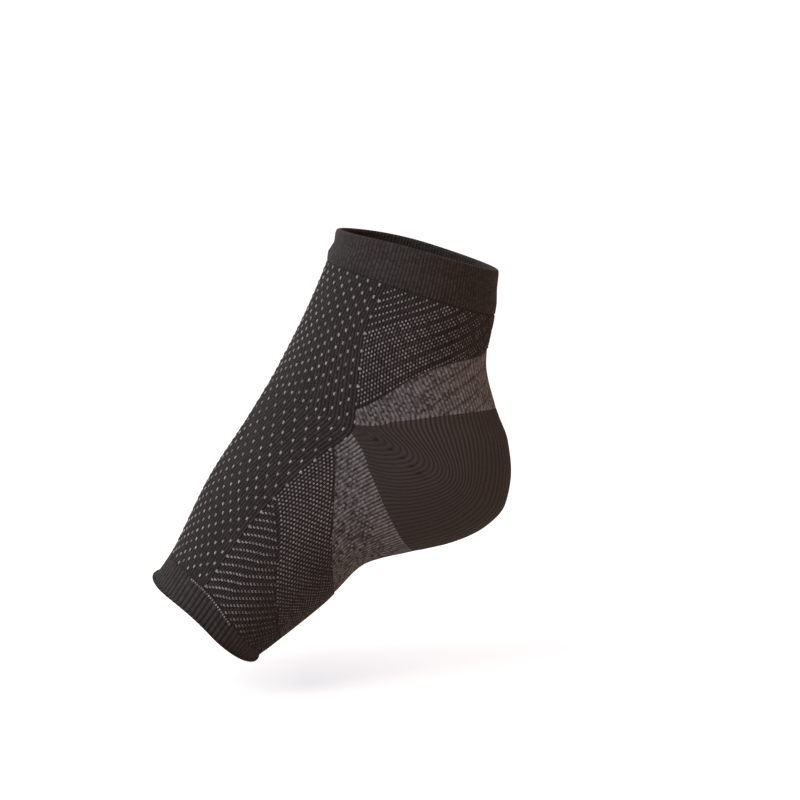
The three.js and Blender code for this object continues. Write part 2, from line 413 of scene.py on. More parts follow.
def place_heel(wale, down):
    """The turned heel: its wales run down from the upper band, swing out to a turn and run back below it."""
    even = SIDE + wale / HEEL_WALES
    near = np.sign(1 - even)
    share = side_share(even)
    ended = even + near * (foot_share(share) - share) / 2
    first, last = zone_line("heel_top", even), zone_line("heel_foot", ended)
    station = first + (last - first) * down
    turn = TURN_STATION + TURN_SLOPE * share
    before = ((station - first) / (turn - first)).clip(0) ** SWING_BEFORE + SWING_LEAST
    after = ((last - station) / (last - turn)).clip(0) ** SWING_AFTER + SWING_LEAST
    swung = (before ** -SWING_ROUND + after ** -SWING_ROUND) ** (-1 / SWING_ROUND)
    reach = HEEL_SWING * np.sin(math.pi * np.clip(share / SWING_REACH, 0, 1) ** SWING_ACROSS)
    return even + (ended - even) * down + near * reach * swung, station, down * HEEL_COURSES


def gore_holes(spots, length=0.14):
    """1 in the middle of each small hole along the gore."""
    folded = np.minimum(spots.wale, HEEL_WALES - spots.wale)
    in_line = np.exp(-((spots.station - gore_station(spots.around)) / length) ** 2)
    return in_line * np.clip(np.cos(math.pi * folded), 0, 1) * (folded < 2 * GORE_HOLES)


def wale_ridge(wale, power=0.8):
    """0 in the groove between two wales, 1 on a wale's crest."""
    return np.abs(np.sin(math.pi * wale)) ** power


def border_dip(down, courses, width=1.2):
    """1 on the upper and lower border of a zone, fading within a course or two."""
    nearest = np.minimum(down, 1 - down) * courses
    return np.exp(-(nearest / width) ** 2)


def ground_relief(sizes, ridge, down, courses):
    """Grooves between a zone's wales and the dips along its borders."""
    return sizes.wale_depth * (ridge - 1) - sizes.border_depth * border_dip(down, courses)


def knit_blank(name, columns, rows):
    """A flat blank, one unit square, with each point's share across and down it."""
    bpy.ops.object.select_all(action="DESELECT")
    bpy.ops.mesh.primitive_grid_add(x_subdivisions=columns, y_subdivisions=rows, size=1, location=(0, 0, 0))
    blank = bpy.context.object
    blank.name = name
    blank.data.name = name
    flat = np.empty(len(blank.data.vertices) * 3, np.float32)
    blank.data.vertices.foreach_get("co", flat)
    share = flat.reshape(-1, 3).astype(float) + 0.5
    return blank, share[:, 0].clip(0, 1), 1 - share[:, 1].clip(0, 1)


def lay_points(piece, points):
    piece.data.vertices.foreach_set("co", points.astype(np.float32).ravel())
    piece.data.update()


def lay_knit_map(piece, wale, course):
    """The piece's UV map in stitches: wales across and courses down."""
    mesh = piece.data
    layer = mesh.uv_layers[0]
    layer.name = "knit"
    corners = np.empty(len(mesh.loops), np.int32)
    mesh.loops.foreach_get("vertex_index", corners)
    stitches = np.column_stack([wale, course])[corners]
    layer.uv.foreach_set("vector", stitches.astype(np.float32).ravel())


def lay_value(piece, name, values):
    attribute = piece.data.attributes.new(name, "FLOAT", "POINT")
    attribute.data.foreach_set("value", np.asarray(values, np.float32))


def worn_sizes(points, columns, rows):
    """Greatest width and length of a laid grid whose points run row by row, and its area."""
    grid = points.reshape(rows + 1, columns + 1, 3)
    across, down = np.diff(grid, axis=1), np.diff(grid, axis=0)
    width = np.linalg.norm(across, axis=2).sum(axis=1).max()
    length = np.linalg.norm(down, axis=2).sum(axis=0).max()
    area = np.linalg.norm(np.cross(across[:-1], down[:, :-1]), axis=2).sum()
    return float(width), float(length), float(area)


Spots = namedtuple("Spots", "wale down around station course")
Laid = namedtuple("Laid", "spots raised worn")


def lay_panel(name, place, relief, wales, rows):
    """A knitted zone: a blank laid smooth on the form by place, and where relief would raise its points."""
    columns = wales * WALE_COLUMNS
    panel, across, along = knit_blank(name, columns, rows)
    wale = across * wales
    down = 0.5 - 0.5 * np.cos(math.pi * along)
    spots = Spots(wale, down, *place(wale, down))
    points, _, _, out = form_frame(spots.around, spots.station)
    raised = points + out * relief(spots)[:, None]
    lay_points(panel, points)
    lay_knit_map(panel, wale, spots.course)
    return panel, Laid(spots, raised, worn_sizes(points, columns, rows))


def give_wall(panel, wall, raised):
    """Thickens a laid sheet inwards and raises the stitches on its outer face alone."""
    bpy.ops.object.modifier_add(type="SOLIDIFY")
    thick = panel.modifiers[-1]
    thick.thickness = wall
    thick.offset = -1
    bpy.ops.object.modifier_apply(modifier=thick.name)
    places = np.empty(len(panel.data.vertices) * 3, np.float32)
    panel.data.vertices.foreach_get("co", places)
    places[:raised.size] = raised.ravel()
    lay_points(panel, places)
    bpy.ops.object.shade_smooth_by_angle(angle=math.radians(70))


def dress_node(piece, node, material):
    """Gives a zone its finish and the place of its solid on the part."""
    piece.data.materials.append(material)
    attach(piece, "root")
    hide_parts(node)


def finish_panel(panel, node, material):
    """Dresses a panel between the cuffs."""
    dress_node(panel, node, material)


@cache
def stitch_master(leg=(0.6, 1.1, 0.9), lean=math.radians(9), apart=0.17):
    """One light stitch in a unit cell: two plump legs of this size that lean apart as a V."""
    bpy.ops.object.select_all(action="DESELECT")
    bpy.ops.mesh.primitive_uv_sphere_add(segments=6, ring_count=4, radius=0.5, location=(0, 0, 0))
    stitch = bpy.context.object
    bpy.ops.object.mode_set(mode="EDIT")
    bpy.ops.mesh.select_all(action="SELECT")
    centre = (0, 0, 0)
    bpy.ops.transform.rotate(value=math.pi / 2, orient_axis="X", center_override=centre)
    bpy.ops.transform.resize(value=leg, center_override=centre)
    bpy.ops.transform.rotate(value=lean, orient_axis="Z", center_override=centre)
    bpy.ops.transform.translate(value=(apart, 0, 0))
    bpy.ops.object.mode_set(mode="OBJECT")
    bpy.ops.object.modifier_add(type="MIRROR")
    pair = stitch.modifiers[-1]
    pair.use_mirror_merge = False
    bpy.ops.object.modifier_apply(modifier=pair.name)
    corners = np.array([corner.co for corner in stitch.data.vertices], float)
    faces = [list(face.vertices) for face in stitch.data.polygons]
    bpy.data.objects.remove(stitch)
    return corners, faces


def lay_stitches(name, material, places, stitch, shade, lift=0.0):
    """Light stitches of one size at these places, as one mesh."""
    corners, faces = stitch_master()
    points, across, down, out = form_frame(*places)
    axes = np.stack([across * stitch.width, -down * stitch.length, out * stitch.rise], axis=1)
    placed = (points + out * lift)[:, None, :] + np.einsum("ck,nkx->ncx", corners, axes)
    count = len(corners)
    all_faces = [[count * copy + corner for corner in face] for copy in range(len(points)) for face in faces]
    mesh = bpy.data.meshes.new(name)
    mesh.from_pydata(placed.reshape(-1, 3).tolist(), [], all_faces)
    mesh.materials.append(material)
    piece = bpy.data.objects.new(name, mesh)
    bpy.context.scene.collection.objects.link(piece)
    lay_value(piece, "shade", np.repeat(shade, count))
    bpy.ops.object.select_all(action="DESELECT")
    piece.select_set(True)
    bpy.context.view_layer.objects.active = piece
    bpy.ops.object.shade_smooth()
    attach(piece, "root")
    return piece


def stitch_cells(wales):
    """Every cell between the cuffs over so many wales, as two arrays of whole numbers."""
    wale, course = np.meshgrid(np.arange(wales), np.arange(ALL_COURSES))
    return wale.ravel(), course.ravel()


def zone_stitches(top, foot, chart, margin=0.6):
    """Places of the light stitches between two border lines of the back half, and how light each is."""
    wale, course = stitch_cells(BACK_WALES)
    around = SIDE + (wale + 0.5) / BACK_WALES
    middle, light = chart(np.minimum(wale, BACK_WALES - 1 - wale), course)
    first, last = course_at(zone_line(top, around)), course_at(zone_line(foot, around))
    kept = (middle > first + margin) & (middle < last - margin) & (light > 0)
    return (around[kept], station_at(middle[kept])), light[kept]


def achilles_chart(wale, course, block=4, corner_lines=13):
    """Three by three blocks of dots, dim dots between them, and dotted lines in the corner by the cuff."""
    beside_light, between_light, between_wales = 0.45, 0.5, (6, 30)
    rising, falling = (wale + course) // 2, (wale - course) // 2
    checked = (wale + course) % 2 == 0
    beside = np.where((falling + rising // block) % block == block - 1, beside_light, 1.0)
    between = np.interp(wale, between_wales, (between_light, 0))
    blocks = np.where(rising % block == block - 1, between, beside)
    return course + 0.5, checked * np.where(rising < corner_lines, rising % 2 == 0, blocks)


def arch_chart(wale, course):
    """Every second stitch."""
    return course + 0.5, (wale + course) % 2 == 0


def rib_rise(wale):
    """How many courses a rib of the forefoot has risen at a wale."""
    return wale + RIB_STEEPER * np.maximum(wale - RIB_STEEPER_FROM, 0)


def rib_chart(wale, course):
    """One stitch in each wale for every rib."""
    middle = course + 0.5 - rib_rise(wale) % 1
    return middle, (course + np.floor(rib_rise(wale)).astype(int)) % RIB_COURSES == 0


def instep_stitches(dot_courses=3, dot_wales=4, side_courses=8):
    """Staggered dots over the instep, a row of them on each side line, and how light each is."""
    wale, course = stitch_cells(INSTEP_WALES + 1)
    from_front = np.abs(wale - INSTEP_WALES // 2)
    on_side = from_front == INSTEP_WALES // 2
    on_foot = np.interp(course, SLANT_COURSES, (0, 1))
    middle = course + 0.5 + np.where(on_side, 0, FOOT_SLANT * on_foot * from_front)
    row, past_row = np.divmod(course - 1, dot_courses)
    stagger = dot_wales // 2
    dot = (past_row == 0) & ((wale + stagger * row) % dot_wales == stagger)
    in_panel = (middle > 1) & (middle < ALL_COURSES - 1)
    kept = np.where(on_side, course % side_courses == 0, dot) & in_panel
    around = wale[kept] / INSTEP_WALES - SIDE
    return (around, station_at(middle[kept])), 1 + FOOT_LIGHTER * on_foot[kept]


def toe_row_stitches():
    """The short light row where the toe cuff begins, on both sides."""
    start, end = TOE_ROW
    near = np.concatenate([np.arange(start, SIDE, 1 / INSTEP_WALES), np.arange(SIDE, end, 1 / BACK_WALES)])
    around = np.concatenate([near, -near])
    return around, np.full(len(around), STATION["toe_cuff_top"] + TOE_ROW_BELOW)


def shade_of(places, fade, seed):
    """Brightness of each light stitch: uneven yarn, and a fade towards the back line that is partly painted
    shade and partly stitches that show less there.
    """
    around, _ = places
    uneven = np.random.default_rng(seed).uniform(*YARN_UNEVEN, len(around))
    back_fade_and_shade = np.clip((side_share(around) - fade.start) / (fade.end - fade.start), 0, 1)
    return uneven * (fade.high - (fade.high - fade.low) * back_fade_and_shade)


def cuff_profile(wall, height=0.016, rim_crowd=1.6, along_steps=14, bead_steps=8):
    """Closed profile of a welt: share of its height below the rim and depth below its outer face."""
    bead = wall / 2 / height
    outer = bead + (1 - bead) * np.linspace(1, 0, along_steps) ** rim_crowd
    turn = np.linspace(0, math.pi, bead_steps + 1)[1:-1]
    over_share, over_depth = bead * (1 - np.sin(turn)), wall / 2 * (1 - np.cos(turn))
    share = np.concatenate([outer, over_share, outer[::-1], [1]])
    depth = np.concatenate([np.zeros(along_steps), over_depth, np.full(along_steps, wall), [0]])
    return share, depth


def wale_around(wale):
    """Place around of a wale counted from the far side line over the instep and on round the back."""
    on_back = SIDE + (wale - INSTEP_WALES) / BACK_WALES
    return np.where(wale < INSTEP_WALES, wale / INSTEP_WALES - SIDE, on_back)


def lay_cuff(name, rim, foot, rib_wales, swell, sizes, rib_power=0.7):
    """A ribbed welt: a blank wrapped round its closed profile and round the sleeve, its seams merged."""
    share, depth = cuff_profile(sizes.cuff_wall)
    rows = len(share) - 1
    wales = INSTEP_WALES + BACK_WALES
    columns = wales * WALE_COLUMNS
    cuff, across, along = knit_blank(name, columns, rows)
    row = np.rint(along * rows).astype(int)
    from_rim, below = share[row], depth[row]
    wale = across * wales
    around = wale_around(wale)
    station = rim + (foot - rim) * from_rim
    rib = np.abs(np.sin(math.pi * wale / rib_wales)) ** rib_power
    outside = 1 - below / sizes.cuff_wall
    groove = sizes.rib_depth * rib_wales / TOE_RIB_WALES * (1 - rib)
    rise = (sizes.cuff_proud * swell(from_rim, around) - groove) * outside - below
    points, _, _, out = form_frame(around, station)
    lay_points(cuff, points + out * rise[:, None])
    lay_knit_map(cuff, wale / rib_wales, from_rim * CUFF_COURSES)
    bpy.ops.object.mode_set(mode="EDIT")
    bpy.ops.mesh.select_all(action="SELECT")
    bpy.ops.mesh.remove_doubles(threshold=1e-6)
    bpy.ops.object.mode_set(mode="OBJECT")
    bpy.ops.object.shade_smooth_by_angle(angle=math.radians(80))
    girth = np.linalg.norm(np.diff(points[:columns + 1], axis=0), axis=1).sum()
    return cuff, float(girth)


def ankle_swell(from_rim, around):
    """The ankle welt's roll, fullest at the front."""
    roll = np.interp(from_rim, *ANKLE_ROLL)
    front = 0.5 + 0.5 * np.cos(math.pi * around)
    return ANKLE_FLAT + (roll - ANKLE_FLAT) * (ANKLE_BACK_ROLL + (1 - ANKLE_BACK_ROLL) * front)


def toe_swell(from_rim, around):
    """The toe welt's rolled rim, the same all round."""
    return np.interp(from_rim, *TOE_ROLL)


class Wiring:
    """Short calls that add nodes to one tree and join their sockets."""

    def __init__(self, tree):
        self.tree = tree

    def node(self, kind, **settings):
        made = self.tree.nodes.new(kind)
        for setting, value in settings.items():
            setattr(made, setting, value)
        return made

    def feed(self, socket, value):
        if isinstance(value, bpy.types.NodeSocket):
            self.tree.links.new(value, socket)
        else:
            socket.default_value = value

    def math(self, operation, *values, clamp=False):
        made = self.node("ShaderNodeMath", operation=operation, use_clamp=clamp)
        for socket, value in zip(made.inputs, values):
            self.feed(socket, value)
        return made.outputs[0]

    def weighed(self, first, first_weight, second, second_weight):
        """Two values, each times its weight, in one sum."""
        return self.math("ADD", self.math("MULTIPLY", first, first_weight),
                         self.math("MULTIPLY", second, second_weight))

    def scaled(self, colour, factor):
        made = self.node("ShaderNodeVectorMath", operation="SCALE")
        self.feed(made.inputs[0], colour)
        self.feed(made.inputs["Scale"], factor)
        return made.outputs[0]

    def split(self, vector):
        made = self.node("ShaderNodeSeparateXYZ")
        self.feed(made.inputs[0], vector)
        return made.outputs

    def attribute(self, name):
        return self.node("ShaderNodeAttribute", attribute_name=name).outputs["Fac"]

    def mix(self, factor, first, second):
        made = self.node("ShaderNodeMix", data_type="RGBA")
        for place, value in ((0, factor), (6, first), (7, second)):
            self.feed(made.inputs[place], value)
        return made.outputs[2]

    def spread(self, value, low, high, to_low=0.0, to_high=1.0):
        made = self.node("ShaderNodeMapRange")
        for socket, given in zip(made.inputs, (value, low, high, to_low, to_high)):
            self.feed(socket, given)
        return made.outputs[0]

    def noise(self, place, scale, detail=2.0):
        made = self.node("ShaderNodeTexNoise")
        self.feed(made.inputs["Vector"], place)
        made.inputs["Scale"].default_value = scale
        made.inputs["Detail"].default_value = detail
        return made.outputs["Fac"]

    def group(self, tree, **values):
        made = self.node("ShaderNodeGroup", node_tree=tree)
        for name, value in values.items():
            self.feed(made.inputs[name], value)
        return made.outputs


def new_group(name, inputs, outputs):
    """An empty shader group with these named sockets, its wiring, and its inner ends."""
    group = bpy.data.node_groups.new(name, "ShaderNodeTree")
    for socket, kind in inputs.items():
        group.interface.new_socket(name=socket, in_out="INPUT", socket_type=kind)
    for socket, kind in outputs.items():
        group.interface.new_socket(name=socket, in_out="OUTPUT", socket_type=kind)
    wire = Wiring(group)
    return group, wire, wire.node("NodeGroupInput"), wire.node("NodeGroupOutput")


def stitch_loop_group(lean=0.8, fall=0.35, power=0.8):
    """V-shaped stitches from a knit map: height of the yarn, gaps between loops, a number for each loop, and
    0 and 1 by turns from loop to loop."""
    group, wire, given, made = new_group(
        "knit stitch loops",
        {"Knit": "NodeSocketVector"},
        {name: "NodeSocketFloat" for name in ("Height", "Gap", "Loop", "Turn")},
    )
    wale, course, _ = wire.split(given.outputs["Knit"])
    from_middle = wire.math("ABSOLUTE", wire.math("SUBTRACT", wire.math("FRACT", wale), 0.5))
    ridge = wire.math("COSINE", wire.math("MULTIPLY", from_middle, math.pi))
    leaning = wire.math("ADD", course, wire.math("MULTIPLY", from_middle, -lean))
    bead = wire.math("SINE", wire.math("MULTIPLY", wire.math("FRACT", leaning), math.pi))
    body = wire.math("ADD", wire.math("MULTIPLY", bead, fall), 1 - fall)
    height = wire.math("MULTIPLY", wire.math("POWER", ridge, power), body, clamp=True)
    cell = wire.node("ShaderNodeCombineXYZ")
    column, row = wire.math("FLOOR", wale), wire.math("FLOOR", leaning)
    wire.feed(cell.inputs[0], column)
    wire.feed(cell.inputs[1], row)
    odd = wire.math("FRACT", wire.math("MULTIPLY", wire.math("ADD", column, row), 0.5))
    number = wire.node("ShaderNodeTexWhiteNoise", noise_dimensions="2D")
    wire.feed(number.inputs["Vector"], cell.outputs[0])
    wire.feed(made.inputs["Height"], height)
    wire.feed(made.inputs["Gap"], wire.math("SUBTRACT", 1.0, height, clamp=True))
    wire.feed(made.inputs["Loop"], number.outputs["Value"])
    wire.feed(made.inputs["Turn"], wire.math("MULTIPLY", odd, 2.0))
    return group


def yarn_group(fibre_weight=0.7, cloud_weight=0.6):
    """Spun yarn: its colour with fibre flecks and slow unevenness, and the height of loose fibres."""
    group, wire, given, made = new_group(
        "spun yarn",
        {"Place": "NodeSocketVector", "Yarn": "NodeSocketColor", "Unevenness": "NodeSocketFloat"},
        {"Color": "NodeSocketColor", "Fibre": "NodeSocketFloat"},
    )
    fibre = wire.noise(given.outputs["Place"], scale=2600.0, detail=3.0)
    cloud = wire.noise(given.outputs["Place"], scale=55.0, detail=3.0)
    both = wire.weighed(fibre, fibre_weight, cloud, cloud_weight)
    off_middle = wire.math("SUBTRACT", both, (fibre_weight + cloud_weight) / 2)
    bright = wire.math("ADD", wire.math("MULTIPLY", off_middle, given.outputs["Unevenness"]), 1.0)
    wire.feed(made.inputs["Color"], wire.scaled(given.outputs["Yarn"], bright))
    wire.feed(made.inputs["Fibre"], fibre)
    return group


def shared_group(maker, name):
    return bpy.data.node_groups.get(name) or maker()


Finish = namedtuple("Finish", "material wire shader place")


def new_finish(name):
    """A new material with its wiring, shader and object coordinates."""
    material = bpy.data.materials.new(name)
    material.use_nodes = True
    wire = Wiring(material.node_tree)
    shader = material.node_tree.nodes["Principled BSDF"]
    return Finish(material, wire, shader, wire.node("ShaderNodeTexCoord").outputs["Object"])


def stitch_nodes(wire):
    """The piece's knit map and the loops on it."""
    knit = wire.node("ShaderNodeUVMap", uv_map="knit").outputs["UV"]
    return knit, wire.group(shared_group(stitch_loop_group, "knit stitch loops"), Knit=knit)


def spin_yarn(finish, kind, colour, tone, raised=0.0):
    """Joins a matte, downy yarn to a finish: its colour times tone, its fibres on what is raised."""
    material, wire, shader, place = finish
    tree = shared_group(yarn_group, "spun yarn")
    yarn = wire.group(tree, Place=place, Yarn=colour, Unevenness=kind.unevenness)
    wire.feed(shader.inputs["Base Color"], wire.scaled(yarn["Color"], tone))
    bump = wire.node("ShaderNodeBump")
    bump.inputs["Strength"].default_value = 0.8
    bump.inputs["Distance"].default_value = kind.depth
    fibres = wire.math("MULTIPLY", yarn["Fibre"], kind.loft)
    wire.feed(bump.inputs["Height"], wire.math("ADD", raised, fibres))
    wire.feed(shader.inputs["Normal"], bump.outputs["Normal"])
    shader.inputs["Roughness"].default_value = kind.roughness
    shader.inputs["Specular IOR Level"].default_value = 0.25
    shader.inputs["Sheen Weight"].default_value = 0.05
    shader.inputs["Sheen Roughness"].default_value = 0.45
    return material


def ground_knit(name, colour):
    """Black knit: painted shade in the gaps between its loops, each loop a little lighter or darker."""
    finish = new_finish(name)
    wire = finish.wire
    _, loops = stitch_nodes(wire)
    # painted shade in the gaps between loops
    gap = wire.spread(loops["Gap"], *GAP_DEPTHS, *GROUND_SHADE_TONES)
    loop = wire.spread(loops["Loop"], 0.0, 1.0, 1 - LOOP_SWING, 1 + LOOP_SWING)
    return spin_yarn(finish, GROUND_YARN, (*colour, 1), wire.math("MULTIPLY", gap, loop), loops["Height"])


def heel_knit(name, colour):
    """Plain black knit of the heel: its wales clear where clear is 1, with painted shade in the gaps and a
    painted highlight on the crests, and painted shade in its holes by tone.
    """
    finish = new_finish(name)
    wire = finish.wire
    _, loops = stitch_nodes(wire)
    # painted shade in the gaps; the crisp tones also paint a highlight on the crests
    soft = wire.spread(loops["Gap"], *GAP_DEPTHS, *SOFT_HEEL_SHADE_TONES)
    crisp = wire.spread(loops["Gap"], *GAP_DEPTHS, *CRISP_HEEL_SHADE_TONES)
    line = wire.mix(wire.attribute("clear"), soft, crisp)
    tone = wire.math("MULTIPLY", line, wire.attribute("tone"))
    return spin_yarn(finish, HEEL_YARN, (*colour, 1), tone, loops["Height"])


def mottled_knit(name, light, dark, crease_shade_depth, painted_back_light):
    """Grey knit: light and dark loops mixed, light bars by the heel, painted shade along creased lines as
    dark as given, painted light towards the back, and painted shade in the gaps between loops and bars."""
    turn_weight, grain_weight, bar_weight = 0.25, 0.5, 0.45
    grain_stretch, bar_gap_depth = (1.2, 0.5, 1), 0.7
    finish = new_finish(name)
    wire = finish.wire
    knit, loops = stitch_nodes(wire)
    edge = wire.attribute("heel_edge")
    wale, course, _ = wire.split(knit)
    loop = wire.weighed(loops["Turn"], turn_weight, loops["Loop"], 1 - turn_weight)
    longways = wire.node("ShaderNodeVectorMath", operation="MULTIPLY")
    wire.feed(longways.inputs[0], knit)
    wire.feed(longways.inputs[1], grain_stretch)
    grain = wire.spread(wire.noise(longways.outputs[0], scale=1.0), low=0.3, high=0.7)
    mottle = wire.weighed(grain, grain_weight, loop, 1 - grain_weight)
    bar_turn = wire.math("MULTIPLY", wire.math("FRACT", wire.attribute("bar_wale")), math.pi)
    ridge = wire.math("SINE", bar_turn)
    bar = wire.weighed(ridge, bar_weight, mottle, bar_weight)
    pattern = wire.spread(wire.mix(edge, mottle, bar), low=0.22, high=0.82)
    # painted light: the band lighter towards the back line
    from_back = wire.math("ABSOLUTE", wire.math("SUBTRACT", wale, BAND_WALES / 2))
    folded = wire.math("SUBTRACT", BAND_WALES / 2, from_back)
    painted_back_lightening = wire.spread(folded, low=8, high=BAND_WALES / 2, to_high=painted_back_light)
    pattern = wire.math("ADD", pattern, painted_back_lightening)
    # painted shade along diagonal creased lines across the band
    risen = wire.math("ADD", course, wire.math("MULTIPLY", folded, CREASE_RISE))
    phase = wire.math("FRACT", wire.math("MULTIPLY", risen, 1 / CREASE_COURSES))
    off_crease = wire.math("ABSOLUTE", wire.math("SUBTRACT", phase, 0.5))
    fold = wire.spread(off_crease, 0.0, CREASE_WIDTH, crease_shade_depth, 0.0)
    crease_shade = wire.math("MULTIPLY", fold, wire.spread(folded, *CREASE_FROM))
    shown = wire.math("MULTIPLY", pattern, wire.math("SUBTRACT", 1.0, crease_shade))
    # painted shade in the gaps between loops and bars
    bar_gap = wire.math("MULTIPLY", wire.math("SUBTRACT", 1.0, ridge), bar_gap_depth)
    gap = wire.mix(edge, loops["Gap"], bar_gap)
    tone = wire.spread(gap, low=0.2, high=1.0, to_low=1.1, to_high=0.3)
    colour = wire.mix(shown, (*dark, 1), (*light, 1))
    return spin_yarn(finish, GREY_YARN, colour, tone, wire.mix(edge, loops["Height"], ridge))


def light_yarn(name, colour):
    """Light stitches: spun grey yarn, some brighter than others, dimmer towards the back line partly by
    painted shade.
    """
    finish = new_finish(name)
    return spin_yarn(finish, LIGHT_YARN, (*colour, 1), finish.wire.attribute("shade"))


def floor_finish(colour, uneven=0.06, darker=0.9, glow=(0.6, 0.65, 0.7, 1)):
    """Matte paper: a pale sheet with the faintest unevenness, and a glow that only the camera sees."""
    material, wire, shader, place = new_finish("pale_paper")
    cloud = wire.math("MULTIPLY", wire.noise(place, scale=6.0), uneven)
    dark = tuple(part * darker for part in colour)
    wire.feed(shader.inputs["Base Color"], wire.mix(cloud, (*colour, 1), (*dark, 1)))
    shader.inputs["Roughness"].default_value = 0.9
    shader.inputs["Specular IOR Level"].default_value = 0.1
    seen = wire.node("ShaderNodeLightPath").outputs["Is Camera Ray"]
    wire.feed(shader.inputs["Emission Color"], wire.mix(seen, (0, 0, 0, 1), glow))
    shader.inputs["Emission Strength"].default_value = 1.0
    return material


class SleeveSizes(PropertyGroup):
    """Sizes of the knit."""

    wall: FloatProperty(
        name="Wall", description="Thickness of the knit between the cuffs", default=0.0013, unit="LENGTH")
    cuff_wall: FloatProperty(
        name="Cuff wall", description="Thickness of the doubled welts", default=0.0022, unit="LENGTH")
    cuff_proud: FloatProperty(
        name="Cuff rise", description="How far the welts stand over the knit", default=0.0006, unit="LENGTH")
    wale_depth: FloatProperty(
        name="Wale depth", description="Depth of the grooves between wales", default=0.00025, unit="LENGTH")
    rib_depth: FloatProperty(
        name="Rib depth", description="Depth of the grooves in the toe welt", default=0.0004, unit="LENGTH")
    border_depth: FloatProperty(
        name="Border depth", description="Dip where two zones meet", default=0.00018, unit="LENGTH")


class YarnColours(PropertyGroup):
    """Colours of the yarns."""

    ground: FloatVectorProperty(
        name="Ground", description="Black yarn of the dotted zones", subtype="COLOR", size=3,
        default=(0.024, 0.0205, 0.021), min=0, max=1)
    heel: FloatVectorProperty(
        name="Heel", description="Black yarn of the heel", subtype="COLOR", size=3,
        default=(0.0358, 0.0312, 0.0308), min=0, max=1)
    cuff: FloatVectorProperty(
        name="Cuffs", description="Black yarn of the welts", subtype="COLOR", size=3,
        default=(0.0315, 0.027, 0.0262), min=0, max=1)
    light: FloatVectorProperty(
        name="Light", description="Grey yarn of the dots and ribs", subtype="COLOR", size=3,
        default=(0.248, 0.237, 0.252), min=0, max=1)
    mottle: FloatVectorProperty(
        name="Mottle", description="Grey yarn of the heel bands", subtype="COLOR", size=3,
        default=(0.162, 0.166, 0.184), min=0, max=1)


class StageSettings(PropertyGroup):
    """The view and its light."""

    distance: FloatProperty(
        name="Distance", description="Camera to the middle of the ankle", default=1.003, unit="LENGTH")
    elevation: FloatProperty(
        name="Elevation", description="Camera's height angle", default=math.radians(8), subtype="ANGLE")
    lens: FloatProperty(name="Lens", description="Focal length in millimetres", default=104.97)
    floor_drop: FloatProperty(
        name="Floor drop", description="Floor below the sleeve's lowest point", default=0.012, unit="LENGTH")
    floor_colour: FloatVectorProperty(
        name="Floor", description="Colour of the floor", subtype="COLOR", size=3,
        default=(0.7, 0.62, 0.56), min=0, max=1)
    surround: FloatProperty(name="Surround", description="Brightness of the surround", default=1.0)
    warm_side: FloatVectorProperty(
        name="Warm side", description="Light that comes from the right", subtype="COLOR", size=3,
        default=(0.28, 0.13, 0.06), min=0, max=1)


class SleeveSettings(PropertyGroup):
    """All that a user would change."""

    sizes: PointerProperty(type=SleeveSizes)
    yarns: PointerProperty(type=YarnColours)
    stage: PointerProperty(type=StageSettings)


class SLEEVE_OT_cuffs(Operator):
    """Knit the ribbed welts at the ankle and the toes"""

    bl_idname = "sleeve.cuffs"
    bl_label = "Ankle and Toe Cuffs"

    def execute(self, context):
        settings = context.scene.sleeve
        sizes = settings.sizes
        places = toe_row_stitches()
        shade = shade_of(places, Fade(0, 1, 0.9, 0.9), seed=5)
        light = light_yarn("toe_row_yarn", settings.yarns.light)
        stitch = Stitch(0.0008, 0.0009, 0.0005)
        row = lay_stitches("toe_cuff_light_row", light, places, stitch, shade, TOE_ROW_LIFT)
        finish = ground_knit("cuff_rib_knit", settings.yarns.cuff)
        for node, rim, foot, rib_wales, swell, height, stitches in (
            ("ankle_cuff", "ankle_rim", "cuff_foot", ANKLE_RIB_WALES, ankle_swell, 0.0175, []),
            ("toe_cuff", "toe_rim", "toe_cuff_top", TOE_RIB_WALES, toe_swell, 0.0105, [row]),
        ):
            cuff, girth = lay_cuff(node + "_rib", STATION[rim], STATION[foot], rib_wales, swell, sizes)
            dress_node(cuff, node, finish)
        return {"FINISHED"}


class SLEEVE_OT_instep_panel(Operator):
    """Knit the instep with its staggered light dots"""

    bl_idname = "sleeve.instep_panel"
    bl_label = "Instep Panel"

    def execute(self, context):
        settings = context.scene.sleeve
        sizes = settings.sizes

        def relief(spots):
            return ground_relief(sizes, wale_ridge(spots.wale), spots.down, ALL_COURSES)

        panel, laid = lay_panel("instep_panel_knit", place_instep, relief, INSTEP_WALES, rows=90)
        give_wall(panel, sizes.wall, laid.raised)
        places, light_share = instep_stitches()
        shade = shade_of(places, Fade(0, 1, 1.04, 1.04), seed=3) * light_share
        light = light_yarn("instep_dot_yarn", settings.yarns.light)
        stitch = Stitch(0.0009, 0.0015, 0.0006)
        dots = lay_stitches("instep_light_dots", light, places, stitch, shade)
        finish = ground_knit("instep_ground_knit", settings.yarns.ground)
        finish_panel(panel, "instep_panel", finish)
        return {"FINISHED"}


